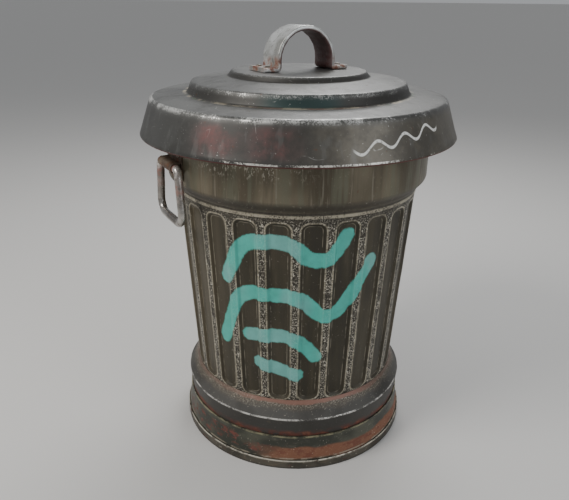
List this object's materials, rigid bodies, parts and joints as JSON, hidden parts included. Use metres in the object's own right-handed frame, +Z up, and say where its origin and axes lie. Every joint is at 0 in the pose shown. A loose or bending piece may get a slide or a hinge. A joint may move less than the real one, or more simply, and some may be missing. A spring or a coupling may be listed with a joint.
{
  "type": "lidded metal waste can",
  "caption": "Round lidded steel waste can with a fluted tapered drum, plain collar, flared base, drop bails at the sides and a stepped lift-off lid with a strap handle.",
  "frame": {"origin": "centre of the can's foot, on the floor", "axes": "+Z up along the can's axis; the two side bails are at -X (left) and +X (right)"},
  "size_m": [0.495, 0.495, 0.6723],
  "materials": {
    "drum_steel": "tarnished galvanised sheet, dark in the pressed panels and worn bright on the ribs",
    "collar_steel": "tarnished galvanised sheet with drip streaks",
    "base_steel": "grey galvanised sheet with rust in the groove",
    "hoop_steel": "worn hoop with an orange rust line",
    "floor_steel": "dull galvanised sheet",
    "lid_steel": "gunmetal galvanised sheet, bright on its worn edges",
    "strap_steel": "light galvanised strap with rust at its feet",
    "bail_steel": "bright worn rod with light rust",
    "bracket_steel": "rusted sheet",
    "rivet_steel": "dull zinc",
    "wire_steel": "plain wire"
  },
  "bodies": {
    "can": {"side_wall": "drum_steel", "upper_collar": "collar_steel", "rim_wire": "wire_steel", "bottom_plate": "floor_steel", "base_ring": "base_steel", "foot_skirt": "base_steel", "seat_ring": "floor_steel", "foot_hoop": "hoop_steel", "handle_bracket_left": "bracket_steel", "bracket_backing_left": "bracket_steel", "bracket_rivets_left": "rivet_steel", "handle_bracket_right": "bracket_steel", "bracket_backing_right": "bracket_steel", "bracket_rivets_right": "rivet_steel"},
    "lid": {"lid_shell": "lid_steel", "lid_rim_wire": "wire_steel", "lid_handle": "strap_steel", "lid_handle_backing_left": "lid_steel", "lid_handle_rivets_left": "rivet_steel", "lid_handle_backing_right": "lid_steel", "lid_handle_rivets_right": "rivet_steel"},
    "handle_left": {"side_handle_left": "bail_steel"},
    "handle_right": {"side_handle_right": "bail_steel"}
  },
  "joints": [
    {"name": "lid_lift", "type": "slide", "parent": "can", "child": "lid", "axis": [0, 0, 1], "range_m": [0, 0.3]},
    {"name": "left_handle_swing", "type": "hinge", "parent": "can", "child": "handle_left", "pos_m": [-0.21743, 0, 0.482], "axis": [0, 1, 0], "range_deg": [-11, 118]},
    {"name": "right_handle_swing", "type": "hinge", "parent": "can", "child": "handle_right", "pos_m": [0.21743, 0, 0.482], "axis": [0, -1, 0], "range_deg": [-11, 118]}
  ]
}
